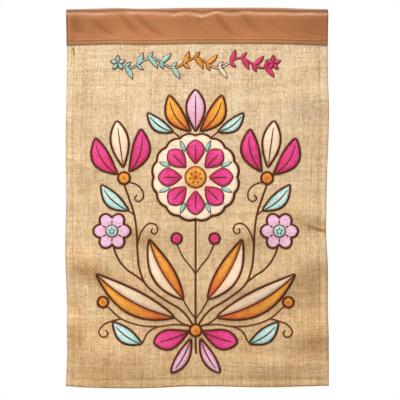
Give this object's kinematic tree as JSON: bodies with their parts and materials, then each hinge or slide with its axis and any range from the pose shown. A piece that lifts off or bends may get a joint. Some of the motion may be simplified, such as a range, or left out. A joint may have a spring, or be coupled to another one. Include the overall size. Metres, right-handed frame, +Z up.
{
  "type": "garden flag",
  "caption": "Hanging garden flag: hemmed burlap panel under a satin pole sleeve, with appliqué flowers outlined in satin stitch on its face.",
  "frame": {"origin": "on the line of the pole that the sleeve slides over, at the middle of the flag's width", "axes": "+X to the right as the face is seen, -Y out of the face, +Z up"},
  "size_m": [0.3188, 0.0155, 0.4605],
  "materials": {
    "burlap": "plain woven jute look, natural",
    "brown_satin": "satin, soft sheen",
    "cream": "appliqué satin",
    "magenta": "appliqué cloth, matt",
    "pink": "appliqué cloth, matt",
    "orange": "appliqué satin",
    "aqua": "appliqué satin",
    "thread": "embroidery thread, sheen"
  },
  "bodies": {
    "root": {"bow_knot": "orange", "bow_loop_left": "magenta", "bow_loop_right": "magenta", "bow_tail_left": "pink", "bow_tail_right": "pink", "burlap_panel": "burlap", "crown_bud": "pink", "crown_leaf_left": "aqua", "crown_leaf_right": "aqua", "crown_petal_left": "orange", "crown_petal_right": "orange", "daisy_heart_left": "aqua", "daisy_heart_right": "aqua", "daisy_left": "pink", "daisy_right": "pink", "inner_berry_left": "magenta", "inner_berry_right": "magenta", "low_leaf_left": "aqua", "low_leaf_right": "aqua", "medallion": "cream", "outer_berry_left": "orange", "outer_berry_right": "orange", "pole_sleeve": "brown_satin", "rose_heart": "orange", "rose_petal_1": "magenta", "rose_petal_2": "magenta", "rose_petal_3": "magenta", "rose_petal_4": "magenta", "rose_petal_5": "magenta", "rose_petal_6": "magenta", "rose_petal_7": "magenta", "rose_petal_8": "magenta", "side_leaf_low_left": "orange", "side_leaf_low_right": "orange", "side_leaf_top_left": "cream", "side_leaf_top_right": "cream", "tulip_cup_left": "orange", "tulip_cup_right": "orange", "tulip_inner_left": "magenta", "tulip_inner_right": "magenta", "tulip_leaf_left": "aqua", "tulip_leaf_right": "aqua", "tulip_middle_left": "cream", "tulip_middle_right": "cream", "tulip_outer_left": "magenta", "tulip_outer_right": "magenta", "upper_leaf_low_left": "cream", "upper_leaf_low_right": "cream", "upper_leaf_top_left": "orange", "upper_leaf_top_right": "orange"}
  },
  "joints": []
}
